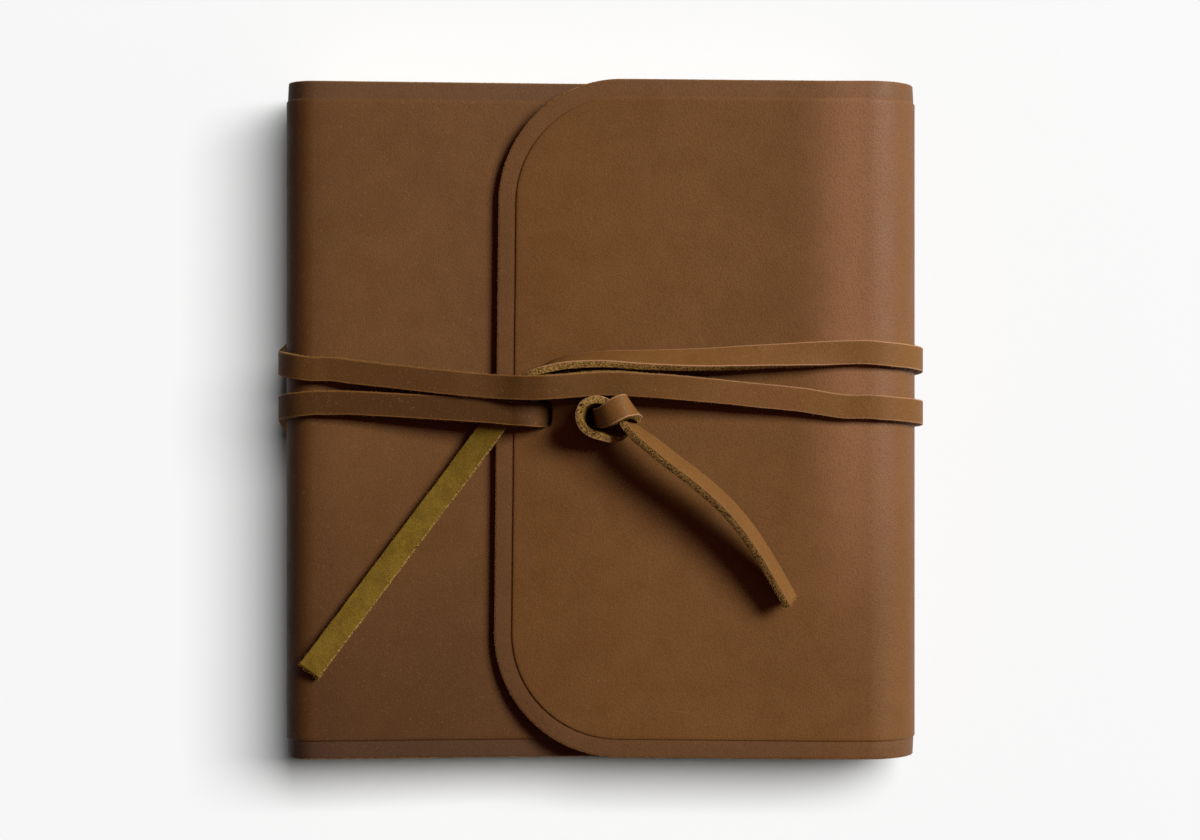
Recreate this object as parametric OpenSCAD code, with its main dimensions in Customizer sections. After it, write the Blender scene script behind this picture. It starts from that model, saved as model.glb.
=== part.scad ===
// Leather book with a wrap-round cover, tied with one long flat strap.
// Millimetres. X runs from the spine to the fore-edge, Y to the head, Z up from the back cover.
// The origin lies under the middle of the book, on the surface it rests on.

/* [Cover] */
// Height of the cover, tail to head
cover_h = 200; // [160:1:240]
// Width of the closed book, spine to fore-edge
cover_w = 188; // [184:1:200]
// Thickness of the closed book
cover_t = 32; // [31:0.5:36]
// Thickness of the cover leather at its panel
leather_t = 2.4; // [2:0.1:2.5]
// Width of the creased border along every cut edge
border_w = 5.3; // [3:0.1:8]
// Depth of the border below the raised panel
border_step = 0.6; // [0.3:0.1:0.9]
// Outer radius of the two spine corners
spine_r = 8.5; // [7:0.5:10]
// Fall of the front cover towards the fore-edge, in degrees
front_slope = 5; // [4.8:0.1:6]
// Distance from the spine at which the front cover levels out
level_x = 93; // [85:1:100]
// Clear space from the hidden free edge of the front cover to the inside of the fore-edge
front_gap = 10.6; // [9.6:0.5:17.6]

/* [Flap] */
// Distance from the spine to the free edge of the flap
flap_x = 62.4; // [58:0.1:64]
// Radius of the two corners of the flap
flap_r = 36.7; // [20:0.1:45]
// How far the free edge of the flap droops
flap_droop = 1.6; // [1.2:0.1:1.9]
// Length of the stretch of the flap that droops
droop_w = 51; // [40:1:60]

/* [Strap] */
// Width of the strap
strap_w = 7.2; // [6.6:0.1:7.4]
// Thickness of the strap
strap_t = 2.4; // [2:0.1:2.4]
// Clearance between the strap and what it lies on
strap_gap = 0.1; // [0.08:0.01:0.15]
// Distance from the spine to the knot
knot_x = 93.4; // [92:0.1:95]
// Distance from the spine to the slit where the strap dives through the flap
slit_x = 76.6; // [75:0.1:78]
// Width of each slit along the strap
slit_w = 5; // [4.8:0.1:5.2]

/* [Pages] */
// How far the pages stand back from the head and the tail of the cover
page_inset = 5; // [2:0.5:25]
// Clear space from the pages to the inside of the fore-edge
page_gap = 14.6; // [12.6:0.5:22.6]
// Number of sewn sections
sections = 9; // [6:1:12]
// Depth of the grooves between sections at the spine
fold_depth = 0.9; // [0.4:0.1:1.2]
// Thickness of each endpaper
endpaper_t = 0.3; // [0.2:0.05:0.4]
// Thickness of the cloth that lines the spine
lining_t = 0.5; // [0.3:0.05:0.6]
// Clearance between glued layers
glue_gap = 0.05; // [0.02:0.01:0.08]
// Diameter of the bead of each endband
band_d = 2.6; // [2:0.1:3]

/* [Hidden] */

leather_colour = "#6c482b";
strap_colour = "#6b4524";
paper_colour = "#e6d9b8";
cloth_colour = "#cfc4a8";
thread_colour = "#8a3b2a";

// The underside of the back cover stands on the strap
base_z = strap_t + strap_gap;
spine_x = -cover_w / 2;
fore_r = cover_t / 2;
fore_x = spine_x + cover_w - fore_r;
free_x = spine_x + flap_x;
front_end = spine_x + cover_w - leather_t - front_gap;
droop_x = free_x + droop_w;
droop_r = (pow(droop_w, 2) + pow(flap_droop, 2)) / (2 * flap_droop);
droop_a = asin(droop_w / droop_r);
level_r = 150;
level_at = spine_x + level_x;
slope_x = spine_x + spine_r * (1 + sin(front_slope));
slope_z = cover_t - spine_r * (1 - cos(front_slope));
bend_x = level_at - level_r * sin(front_slope);
bend_z = slope_z - tan(front_slope) * (bend_x - slope_x);
level_z = bend_z - level_r * (1 - cos(front_slope));
arc_n = 8;
slit_end = 0.4;
slit_y = 1.4;
knot_y = 0;
fore_n = 24;
EPS = 0.01;

// Height of the front cover's face at x, above the cover's underside
function front_at(x) =
    x < slope_x ? slope_z :
    x < bend_x ? slope_z - tan(front_slope) * (x - slope_x) :
    x < level_at ? level_z + level_r - sqrt(pow(level_r, 2) - pow(level_at - x, 2)) :
    level_z;

// Height of the flap's face at x, above the cover's underside
function flap_at(x) =
    x > droop_x ? cover_t :
    cover_t - droop_r + sqrt(pow(droop_r, 2) - pow(droop_x - x, 2));

// Points of an arc with the outward direction of the leather's face at each
function face_arc(cx, cz, r, a0, a1, n, out = 1) =
    [for (i = [0 : n]) let (a = a0 + (a1 - a0) * i / n)
        [cx + r * cos(a), cz + r * sin(a), out * cos(a), out * sin(a)]];

// The face of the front cover from its free edge to the spine, less a trim at the edge
function front_face(trim) = concat(
    [[front_end - trim, level_z, 0, 1]],
    face_arc(level_at, level_z + level_r, level_r, -90, -90 - front_slope, 3, -1));

// The face round the spine, under the back and round the fore-edge to the flap
function round_face() = concat(
    face_arc(spine_x + spine_r, cover_t - spine_r, spine_r, 90 - front_slope, 180, arc_n),
    face_arc(spine_x + spine_r, spine_r, spine_r, 180, 270, arc_n),
    face_arc(fore_x, fore_r, fore_r, 270, 450, fore_n));

// The face of the drooping end of the flap, less a trim at the edge
function flap_face(trim) =
    face_arc(droop_x, cover_t - droop_r, droop_r, 90, 90 + droop_a * (1 - trim / droop_w), 6);

function cover_face(trim) = concat(front_face(trim), round_face(), flap_face(trim));

// A strip of the cover's section between two depths below its face
module face_strip(face, from, to) {
    polygon(concat(
        [for (p = face) [p[0] - p[2] * from, p[1] - p[3] * from]],
        [for (i = [len(face) - 1 : -1 : 0]) let (p = face[i])
            [p[0] - p[2] * to, p[1] - p[3] * to]]));
}

// Stands a section up and draws it out along the height of the book
module draw_out(length) {
    translate([0, 0, base_z])
        rotate([90, 0, 0])
            linear_extrude(length, center = true)
                children();
}

// What is cut away outside the round corners of the flap, clear of the front cover below
module flap_corners(inset) {
    gap_z = (front_at(free_x) + flap_at(free_x) - leather_t) / 2;
    for (side = [-1, 1])
        translate([free_x + flap_r, side * (cover_h / 2 - flap_r), base_z + gap_z])
            difference() {
                translate([-flap_r - leather_t, side > 0 ? 0 : -flap_r - leather_t, 0])
                    cube([flap_r + leather_t, flap_r + leather_t, leather_t * 4]);
                translate([0, 0, -1])
                    cylinder(h = leather_t * 5, r = flap_r - inset, $fn = 96);
            }
}

// A slit through the flap only, across the strap
module flap_slit(x, y, turn) {
    gap_z = (front_at(x) + flap_at(x) - leather_t) / 2;
    translate([x, y, base_z + gap_z])
        rotate([0, 0, turn])
            translate([-slit_w / 2, -strap_w / 2 - slit_end, 0])
                cube([slit_w, strap_w + 2 * slit_end, leather_t * 3]);
}

module leather_cover() {
    color(leather_colour)
        difference() {
            union() {
                draw_out(cover_h)
                    face_strip(cover_face(0), border_step, leather_t);
                difference() {
                    draw_out(cover_h - 2 * border_w)
                        face_strip(cover_face(border_w), 0, (border_step + leather_t) / 2);
                    flap_corners(border_w);
                }
            }
            flap_corners(0);
            flap_slit(spine_x + slit_x, slit_y, 0);
            flap_slit(spine_x + knot_x - 0.7, knot_y + 0.8, 6);
        }
}

// The page block, its spine grooved between the sewn sections
page_x = spine_x + leather_t + lining_t + 2 * glue_gap;
page_z = leather_t + endpaper_t + 2 * glue_gap;
page_end = spine_x + cover_w - leather_t - page_gap;
page_h = cover_h - 2 * page_inset;
function page_top(x) = front_at(x) - leather_t / cos(front_slope) - endpaper_t - 2 * glue_gap;
page_spine_t = page_top(page_x + spine_r) - page_z;
page_fore_t = page_top(page_end) - page_z;
round_w = spine_r - leather_t;

module page_block() {
    step = page_spine_t / sections;
    edge = page_fore_t / sections;
    function swell(z) = round_w * (1 - sqrt(max(0, 1 - pow(2 * z / page_spine_t - 1, 6))));
    color(paper_colour)
        draw_out(page_h)
            polygon(concat(
                [for (i = [0 : sections - 1], k = [0 : 3])
                    let (z = step * (i + k / 4))
                    [page_x + swell(z) + (k == 0 ? fold_depth : k == 2 ? 0 : fold_depth * 0.15),
                        page_z + z]],
                [for (x = [page_x + round_w : 12 : bend_x]) [x, page_top(x)]],
                [for (i = [0 : 4]) let (x = bend_x + (level_at - bend_x) * i / 4)
                    [x, page_top(x)]],
                [for (i = [sections : -1 : 1], k = [0 : 1])
                    [page_end - (k == 0 ? fold_depth / 2 : 0), page_z + edge * (i - k / 2)]],
                [[page_end - fold_depth / 2, page_z]]));
}

// A sheet pasted under a stretch of the cover's face, drawn out a little shorter than the cover
module front_endpaper() {
    x = page_x + round_w;
    face = concat(front_face(border_w), [[x, front_at(x), sin(front_slope), cos(front_slope)]]);
    color(paper_colour)
        draw_out(page_h)
            face_strip(face, leather_t + glue_gap, leather_t + glue_gap + endpaper_t);
}

module back_endpaper() {
    x = page_x + round_w;
    color(paper_colour)
        translate([x, -page_h / 2, base_z + leather_t + glue_gap])
            cube([page_end - x, page_h, endpaper_t]);
}

// Cloth glued over the backs of the sections, inside the leather
module spine_lining() {
    color(cloth_colour)
        translate([spine_x + leather_t + glue_gap, -page_h / 2, base_z + spine_r])
            cube([lining_t, page_h, cover_t - 2 * spine_r]);
}

// A worked endband: a bead across the end of the spine on a tongue glued to the lining
module endband(side) {
    band_z = page_z + round_w;
    band_h = page_spine_t - 2 * round_w;
    bead_y = side * (page_h / 2 + glue_gap + band_d / 2);
    color(thread_colour)
        translate([page_x + band_d / 2 + glue_gap, bead_y, base_z + band_z])
            union() {
                cylinder(h = band_h, d = band_d, $fn = 32);
                for (z = [0, band_h])
                    translate([0, 0, z])
                        sphere(d = band_d, $fn = 32);
            }
}

module head_band() { endband(1); }

module tail_band() { endband(-1); }

// The strap's own frame: each station is [x, y, z, tilt, facing, narrowing].
// Tilt turns the grain side from straight up, and facing is the way that it turns to.
lie = strap_t / 2 + strap_gap;
knot = [spine_x + knot_x, knot_y];
slit_at = spine_x + slit_x;
spine_top = [spine_x + spine_r, base_z + cover_t - spine_r];
spine_foot = [spine_x + spine_r, base_z + spine_r];
size = strap_w / 7.2;

// A station on the flap or on the front cover, z being the height above its face
function on_flap(x, y, z, tilt = 0, facing = 0) = [x, y, base_z + flap_at(x) + z, tilt, facing, 1];
function on_front(x, y, z, tilt = 0, facing = 0) = [x, y, base_z + front_at(x) + z, tilt, facing, 1];

// Stations along an arc of the cover's outside, the strap drifting from y0 to y1
function round_edge(c, r, a0, a1, n, y0, y1, turns) =
    [for (i = [0 : n]) let (a = a0 + (a1 - a0) * i / n)
        [c[0] + (r + lie) * cos(a), y0 + (y1 - y0) * i / n, c[1] + (r + lie) * sin(a),
            90 - a - 360 * turns, 0, 1]];

// The strap is taut, so it leaves the spine a little past its top
leave_a = 92.5;
ease_w = 5;
settle_w = 2;
ease_x = spine_top[0] + ease_w;
ease_h = cover_t + lie + ease_w * sin(leave_a - 90);

// A station on the straight line from the spine to a height above the cover's underside at x0
function taut(x, y, x0, h0, tilt) =
    [x, y, base_z + h0 + (ease_h - h0) * (x0 - x) / (x0 - ease_x), tilt, 0, 1];

// Round the spine from the front to the back, across the back and up the fore-edge
function once_round(y_top, y_spine, y_foot, y_fore, y_end, turns) = concat(
    [[ease_x, y_top, base_z + ease_h, -360 * turns, 0, 1]],
    round_edge(spine_top, spine_r, leave_a, 180, 5, y_top, y_spine, turns),
    [for (z = [spine_top[1] - settle_w, spine_foot[1] + settle_w])
        let (share = (spine_top[1] - z) / (spine_top[1] - spine_foot[1]))
        [spine_x - lie, y_spine + (y_foot - y_spine) * 0.6 * share, z, -90 - 360 * turns, 0, 1]],
    round_edge(spine_foot, spine_r, 180, 270, 5, y_spine + (y_foot - y_spine) * 0.6, y_foot, turns),
    [for (x = [spine_foot[0] + settle_w, spine_foot[0] + ease_w, 0, fore_x - ease_w, fore_x - settle_w])
        let (share = (x - spine_foot[0]) / (fore_x - spine_foot[0]))
        [x, y_foot + (y_fore - y_foot) * share, base_z - lie, -180 - 360 * turns, 0, 1]],
    round_edge([fore_x, base_z + fore_r], fore_r, 270, 450, 11, y_fore, y_end, turns),
    [for (w = [settle_w, ease_w])
        [fore_x - w, y_end, base_z + cover_t + lie, -360 - 360 * turns, 0, 1]]);

// The tail that stands on its edge and runs down from the knot across the flap
tail_run = [
    on_flap(55.2, -53.4, 3.9, 62, 28),
    on_flap(51.2, -46.5, 5, 61, 29),
    on_flap(46.8, -39.1, 6.5, 61, 31),
    on_flap(42.4, -32.6, 7.8, 61, 34),
    on_flap(37.2, -26.3, 8.9, 61, 39),
    on_flap(30.9, -20.3, 9.6, 61, 45),
    on_flap(24.3, -15, 10, 61, 49),
    on_flap(18.4, -10.5, 9.9, 61, 51),
    on_flap(14, -7, 9.4, 63, 51)];

// The knot, from the tail round the ring, under the tail, over it and down its slit
knot_turns = [
    [10, -3.4, 8.5, 70, 50, 1],
    [7.5, -0.9, 7.7, 80, 46, 1],
    [6.1, 1, 7.4, 90, 44, 1],
    [4.4, 2.9, 7, 90, 46, 1],
    [2.4, 4.6, 6.6, 94, 58, 1],
    [0.4, 5.3, 6.4, 98, 78, 1],
    [-1.5, 5.4, 6.4, 100, 98, 1],
    [-3.1, 4.9, 6.4, 101, 118, 1],
    [-4.5, 4, 6.3, 102, 137, 1],
    [-5.3, 2.6, 6.3, 101, 157, 1],
    [-5.6, 1, 6.3, 100, 177, 1],
    [-5.3, -0.7, 6.2, 97, 197, 1],
    [-4.4, -2.2, 5.9, 95, 217, 1],
    [-3.1, -3.3, 5.5, 94, 238, 1],
    [-1.5, -4, 4.9, 98, 260, 1],
    [0.2, -4.4, 4.35, 102, 276, 1],
    [2.2, -4.2, 3.9, 123, 290, 1],
    [4.1, -3.3, 3.05, 149, 300, 1],
    [5.6, -2, 2.15, 168, 308, 1],
    [6.6, -0.4, 1.6, 178, 315, 1],
    [7.5, 0.7, 1.45, 180, 330, 1],
    [8.4, 1.7, 2, 160, 400, 1],
    [9, 2.3, 3.4, 122, 405, 1],
    [9.2, 2.6, 5.4, 92, 405, 1],
    [9.1, 3, 8.2, 85, 402, 1],
    [8.5, 3.7, 10.9, 63, 403, 1],
    [7, 3.9, 12.8, 25, 412, 1],
    [4.9, 3.1, 13.3, 12, 473, 1],
    [3, 1.9, 12.9, 20, 530, 0.93],
    [1, 0.9, 11.3, 51, 556, 0.84],
    [-0.2, 0.7, 8.8, 80, 556, 0.78],
    [-0.7, 1, 6, 90, 550, 0.72],
    [-0.9, 1.1, 3, 90, 546, 0.62],
    [-0.8, 0.9, 0.5, 90, 542, 0.8],
    [-1, 0.6, -1.6, 80, 540, 1],
    [-2.2, 0.8, -3.7, 40, 540, 1],
    [-4.4, 1, -4.6, 5, 540, 1]];

// Under the flap and up through the slit, then left over the crossing to the spine
slit_rise = [
    on_front(slit_at + 8.6, 1.2, 2, 0, 360),
    on_front(slit_at + 5, 1.3, 1.5, 0, 360),
    on_front(slit_at + 2.4, 1.35, 1.6, 8, 360),
    on_flap(slit_at + 1, 1.4, -2.9, 45, 360),
    on_flap(slit_at, 1.4, -1.2, 90, 360),
    on_flap(slit_at - 0.35, 1.4, 0.2, 75, 360),
    on_flap(slit_at - 1.3, 1.45, 1.9, 50, 360),
    on_flap(slit_at - 3.2, 1.6, 3.9, 35, 360),
    on_flap(slit_at - 5.8, 1.8, 4.7, 5, 360),
    on_flap(slit_at - 9.6, 2, 4.5, 0, 360),
    on_flap(slit_at - 13.6, 2.4, 4.5, 0, 0),
    taut(-45, 3.4, -31, 34.9, 0),
    taut(-60, 4.3, -31, 34.9, 0),
    taut(-74, 5, -31, 34.9, 0)];

// The uppermost run, right to left, held off the flap by the twisted run under it
upper_run = [
    on_flap(58.4, 5.9, 2.5, -360, 90),
    on_flap(43.7, 7.4, 3.6, -360, 90),
    on_flap(28.9, 8.9, 4.8, -361, 90),
    on_flap(14.1, 10.1, 6, -365, 90),
    on_flap(-0.6, 10.8, 6.7, -372, 90),
    on_flap(-11, 10, 8.5, -368, 90),
    on_flap(-16.5, 9.6, 9.3, -364, 90),
    on_flap(-22.5, 9.4, 8.5, -361, 90),
    on_flap(-30.2, 9.7, 6.5, -360, 90),
    taut(-45, 11, -30.2, 36.9, -360),
    taut(-60, 12.6, -30.2, 36.9, -360),
    taut(-74, 14.2, -30.2, 36.9, -360)];

// The run that twists flesh side up, passes under the other two and lies to the lower left
twisted_run = [
    on_flap(58.4, 19.1, 2.3, -703, 90),
    on_flap(43.7, 18.4, 3, -691, 90),
    on_flap(28.9, 17.7, 3.5, -680, 90),
    on_flap(14.1, 17.6, 3.85, -668, 90),
    on_flap(-0.6, 17.8, 4.05, -655, 90),
    on_flap(-6.8, 17.4, 4.05, -650, 92),
    on_flap(-11.6, 16.7, 4, -645, 96),
    on_flap(-15.8, 15.3, 3.95, -635, 104),
    on_flap(-19.2, 12.9, 3.85, -608, 117),
    on_flap(-22.2, 9.9, 3, -570, 130),
    on_flap(-25.4, 6.4, 1.7, -543, 138),
    on_flap(-29.2, 2, 1.5, -540, 143),
    on_flap(-31.2, -0.6, 1.5, -540, 143)];
slope_lie = -540 + front_slope;
tail_end = [
    on_front(-36, -6.9, 2.9, -540, 143),
    on_front(-44, -17.6, 1.5, slope_lie),
    on_front(-52, -28.2, lie, slope_lie),
    on_front(-64, -44.2, lie, slope_lie),
    on_front(-76, -60.2, lie, slope_lie),
    on_front(-86.2, -73.9, lie + 0.2, slope_lie)];

route = concat(
    tail_run,
    [for (p = knot_turns)
        [knot[0] + p[0] * size, knot[1] + p[1] * size, base_z + flap_at(knot[0] + p[0]) + p[2] * size,
            p[3], p[4], p[5]]],
    slit_rise,
    once_round(5, 3.2, -3, 0, 3.9, 0),
    upper_run,
    once_round(15, 17.2, 21, 15.6, 19.9, 1),
    twisted_run,
    tail_end);

function place(s) = [s[0], s[1], s[2]];
function gap(a, b) = max(norm(place(b) - place(a)), EPS);

// Change per millimetre at a station between its two neighbours, the nearer one counting more
function pace(a, b, c) =
    let (before = gap(a, b), after = gap(b, c))
    ((b - a) * after / before + (c - b) * before / after) / (before + after);

function pace_at(i) =
    i == 0 ? (route[1] - route[0]) / gap(route[0], route[1]) :
    i == last ? (route[last] - route[last - 1]) / gap(route[last - 1], route[last]) :
    pace(route[i - 1], route[i], route[i + 1]);

// A smooth curve from station i to the next, t running from 0 to 1
function between(i, t) =
    let (span = gap(route[i], route[i + 1]))
    (2 * t * t * t - 3 * t * t + 1) * route[i] + (t * t * t - 2 * t * t + t) * span * pace_at(i)
        + (3 * t * t - 2 * t * t * t) * route[i + 1] + (t * t * t - t * t) * span * pace_at(i + 1);

ring_steps = 3;
last = len(route) - 1;
rings = concat(
    [for (i = [0 : last - 1], k = [0 : ring_steps - 1]) between(i, k / ring_steps)],
    [route[last]]);

function unit(v) = v / norm(v);

// The four corners of the strap's section at ring i
function section_at(i) =
    let (
        s = rings[i],
        along = unit(place(rings[min(i + 1, len(rings) - 1)]) - place(rings[max(i - 1, 0)])),
        lean = [sin(s[3]) * cos(s[4]), sin(s[3]) * sin(s[4]), cos(s[3])],
        grain = unit(lean - (lean * along) * along),
        side = cross(along, grain) * strap_w / 2 * s[5],
        up = grain * strap_t / 2,
        p = place(s))
    [p + side + up, p - side + up, p - side - up, p + side - up];

module closure_strap() {
    n = len(rings);
    points = [for (i = [0 : n - 1]) each section_at(i)];
    walls = [for (i = [0 : n - 2], k = [0 : 3])
        let (a = 4 * i + k, b = 4 * i + (k + 1) % 4)
        each [[a, b, b + 4], [a, b + 4, a + 4]]];
    ends = [[0, 2, 1], [0, 3, 2], [4 * n - 4, 4 * n - 3, 4 * n - 2], [4 * n - 4, 4 * n - 2, 4 * n - 1]];
    color(strap_colour)
        polyhedron(points, concat(walls, ends), 10);
}

leather_cover();
closure_strap();
page_block();
front_endpaper();
back_endpaper();
spine_lining();
head_band();
tail_band();
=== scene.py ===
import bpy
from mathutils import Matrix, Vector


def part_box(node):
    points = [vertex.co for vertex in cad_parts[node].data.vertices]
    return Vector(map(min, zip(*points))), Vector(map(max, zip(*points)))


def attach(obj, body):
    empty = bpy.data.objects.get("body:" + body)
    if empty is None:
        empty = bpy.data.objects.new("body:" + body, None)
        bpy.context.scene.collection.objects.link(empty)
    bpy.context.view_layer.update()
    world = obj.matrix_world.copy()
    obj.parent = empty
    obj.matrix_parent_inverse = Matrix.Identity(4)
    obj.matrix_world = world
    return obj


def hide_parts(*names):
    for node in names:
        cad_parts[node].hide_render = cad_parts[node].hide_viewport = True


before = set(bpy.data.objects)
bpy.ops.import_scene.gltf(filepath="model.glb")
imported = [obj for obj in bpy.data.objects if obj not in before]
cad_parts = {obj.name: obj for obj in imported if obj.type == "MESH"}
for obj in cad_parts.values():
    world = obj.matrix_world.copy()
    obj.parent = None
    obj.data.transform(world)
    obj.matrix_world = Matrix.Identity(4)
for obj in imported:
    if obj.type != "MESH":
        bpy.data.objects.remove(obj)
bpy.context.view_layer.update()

import math

import bpy
import numpy as np
from mathutils import Vector, noise
from mathutils.geometry import delaunay_2d_cdt

MM = 0.001

# Sizes that the frame gives, in millimetres
cover_low, cover_high = (np.array(corner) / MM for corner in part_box("leather_cover"))
SPINE_X = cover_low[0]
COVER_W = cover_high[0] - cover_low[0]
EDGE_ROUNDING = 0.3  # a rounded edge looks shorter, so the sheet is this much taller
COVER_H = cover_high[1] - cover_low[1] + EDGE_ROUNDING
BASE_Z = cover_low[2]
COVER_T = cover_high[2] - cover_low[2]

# Sizes of the wrap-round cover, in millimetres, as in the part's source
LEATHER_T = 2.4
BORDER_W = 5.3
BORDER_STEP = 0.6
SPINE_R = 8.5
FRONT_SLOPE = 5
LEVEL_X = 93
FRONT_GAP = 10.6
FLAP_X = 62.4
FLAP_R = 36.7
FLAP_DROOP = 1.6
DROOP_W = 51
LEVEL_R = 150
FORE_R = COVER_T / 2
FORE_X = SPINE_X + COVER_W - FORE_R

# Sizes of the strap and of the slits that it threads, in millimetres
STRAP_W = 7.2
STRAP_T = 2.4
STRAP_GAP = 0.1
STRAP_INSET = 0.03
EDGE_WAVER = 0.1
# How much lighter the rims of the strap's grain side are: rubbed wear and a painted highlight
RIM_WEAR_AND_HIGHLIGHT = 0.32
KNOT_X = 93.4
SLIT_X = 76.6
SLIT_W = 5
SLIT_END = 0.4

# Sizes of the pages, their bands and the fibres of a cut edge, in millimetres
page_low, page_high = (np.array(corner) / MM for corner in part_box("page_block"))
SECTIONS = 9
LEAVES_A_SECTION = 12
FOLD_DEPTH = 0.9
WAVINESS = 0.35
FIBRE_R = 0.032
BAND_D = 2.6
THREAD_D = 0.5
THREAD_PITCH = 0.52

# A hide's three materials, by the numbers that the faces of a piece take
GRAIN_SLOT, FLESH_SLOT, CUT_SLOT = 0, 1, 2


# Colours and meshes

def colour(hex_value):
    """An sRGB hex value as the linear colour that a shader takes."""
    parts = [int(hex_value[i:i + 2], 16) / 255 for i in (1, 3, 5)]
    return [c / 12.92 if c < 0.04045 else ((c + 0.055) / 1.055) ** 2.4 for c in parts] + [1.0]


def new_object(name, vertices, faces, materials, slots=None, smooth=True):
    """A mesh in metres from points in millimetres, with a material number for each face."""
    mesh = bpy.data.meshes.new(name)
    mesh.from_pydata([tuple(MM * c for c in v) for v in vertices], [], faces)
    for material in materials:
        mesh.materials.append(material)
    if slots is not None:
        mesh.polygons.foreach_set("material_index", np.array(slots, np.int32))
    mesh.polygons.foreach_set("use_smooth", np.full(len(mesh.polygons), smooth))
    mesh.validate()
    mesh.update()
    piece = bpy.data.objects.new(name, mesh)
    bpy.context.scene.collection.objects.link(piece)
    return piece


def paint(piece, name, values):
    """Stores one number for each vertex, for a material to read."""
    layer = piece.data.attributes.new(name, "FLOAT", "POINT")
    layer.data.foreach_set("value", np.array(values, np.float32))


def soft_step(low, high, value):
    share = np.clip((np.asarray(value, float) - low) / (high - low), 0, 1)
    return share * share * (3 - 2 * share)


# Nodes: one helper adds a node with its settings and links

MATHS = "ShaderNodeMath"
RANGE = "ShaderNodeMapRange"
MIX = "ShaderNodeMix"
NOISE = "ShaderNodeTexNoise"
SMOOTH = "SMOOTHSTEP"


def add(tree, kind, inputs=(), output=0, **settings):
    """Adds a node with its settings. Its inputs, in order or by name, are values or other nodes' outputs."""
    node = tree.nodes.new(kind)
    for name, value in settings.items():
        setattr(node, name, value)
    for place, value in inputs.items() if isinstance(inputs, dict) else enumerate(inputs):
        if isinstance(value, bpy.types.NodeSocket):
            tree.links.new(value, node.inputs[place])
        else:
            node.inputs[place].default_value = value
    return node.outputs[output] if node.outputs else None


def start_material(name):
    material = bpy.data.materials.new(name)
    material.use_nodes = True
    tree = material.node_tree
    tree.nodes.clear()
    return material, tree


def mottling(tree, *clouds):
    """The place on the piece, and clouds, each of a size in millimetres, detail, roughness and twist."""
    place = add(tree, "ShaderNodeTexCoord", output="Object")
    return [place] + [
        add(tree, NOISE, {"Vector": place, "Scale": 1 / (size_mm * MM), "Detail": detail,
                          "Roughness": rough, "Distortion": twist})
        for size_mm, detail, rough, twist in clouds]


def lay_over(tree, base, coats, ramp=SMOOTH):
    """Lays coats on a colour: each is a pattern, its low and high, the coat's strength at each, and a hex."""
    for pattern, low, high, thin, thick, tint in coats:
        share = add(tree, RANGE, (pattern, low, high, thin, thick), interpolation_type=ramp)
        base = add(tree, MIX, {0: share, 6: base, 7: colour(tint)}, 2, data_type="RGBA")
    return base


def weigh(tree, parts):
    """The sum of patterns, each times its weight."""
    total = 0.0
    for pattern, weight in parts:
        total = add(tree, MATHS, (pattern, weight, total), operation="MULTIPLY_ADD")
    return total


def finish_surface(tree, base, rough, height, bump_mm, specular):
    """One shader of a colour, patterns spread over ranges of roughness, and patterns weighed as height."""
    spread = [(add(tree, RANGE, change, interpolation_type=SMOOTH), 1) for change in rough]
    normal = add(tree, "ShaderNodeBump", {
        "Height": weigh(tree, height), "Strength": 1.0, "Distance": bump_mm * MM})
    shader = add(tree, "ShaderNodeBsdfPrincipled", {
        "Base Color": base, "Roughness": weigh(tree, spread), "Normal": normal,
        "Specular IOR Level": specular})
    add(tree, "ShaderNodeOutputMaterial", {"Surface": shader})


def pebble(tree, place, size_mm):
    """The hide's pebble grain: rounded cells with fine furrows between them."""
    warp = add(tree, NOISE, {"Vector": place, "Scale": 1 / (size_mm * 3 * MM)})
    push = add(tree, MATHS, (warp, size_mm * MM * 1.2), operation="MULTIPLY")
    aside = add(tree, "ShaderNodeVectorMath", {0: (1.0, 0.8, 0.6), "Scale": push}, operation="SCALE")
    moved = add(tree, "ShaderNodeVectorMath", (place, aside), operation="ADD")
    cells = add(tree, "ShaderNodeTexVoronoi", {
        "Vector": moved, "Scale": 1 / (size_mm * MM), "Smoothness": 0.6, "Randomness": 1.0},
        "Distance", feature="SMOOTH_F1")
    return add(tree, RANGE, (cells, 0.15, 0.75, 1.0, 0.0), interpolation_type=SMOOTH)


def scratches(tree, place, turn, length_mm):
    """Thin pale scratches that lie mostly one way: the narrow crossings of a stretched noise."""
    laid = add(tree, "ShaderNodeMapping", {
        "Vector": place, "Rotation": (0, 0, math.radians(turn)), "Scale": (1.0, 14.0, 1.0)})
    wave = add(tree, NOISE, {"Vector": laid, "Scale": 1 / (length_mm * MM), "Distortion": 0.3})
    here = add(tree, NOISE, {"Vector": place, "Scale": 1 / (16 * MM), "Roughness": 0.6})
    off_middle = add(tree, MATHS, (wave, 0.5), operation="SUBTRACT")
    crossing = add(tree, MATHS, (off_middle,), operation="ABSOLUTE")
    line = add(tree, RANGE, (crossing, 0.0, 0.0016, 1.0, 0.0), interpolation_type=SMOOTH)
    patch = add(tree, RANGE, (here, 0.55, 0.68), interpolation_type=SMOOTH)
    return add(tree, MATHS, (line, patch), operation="MULTIPLY")
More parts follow.
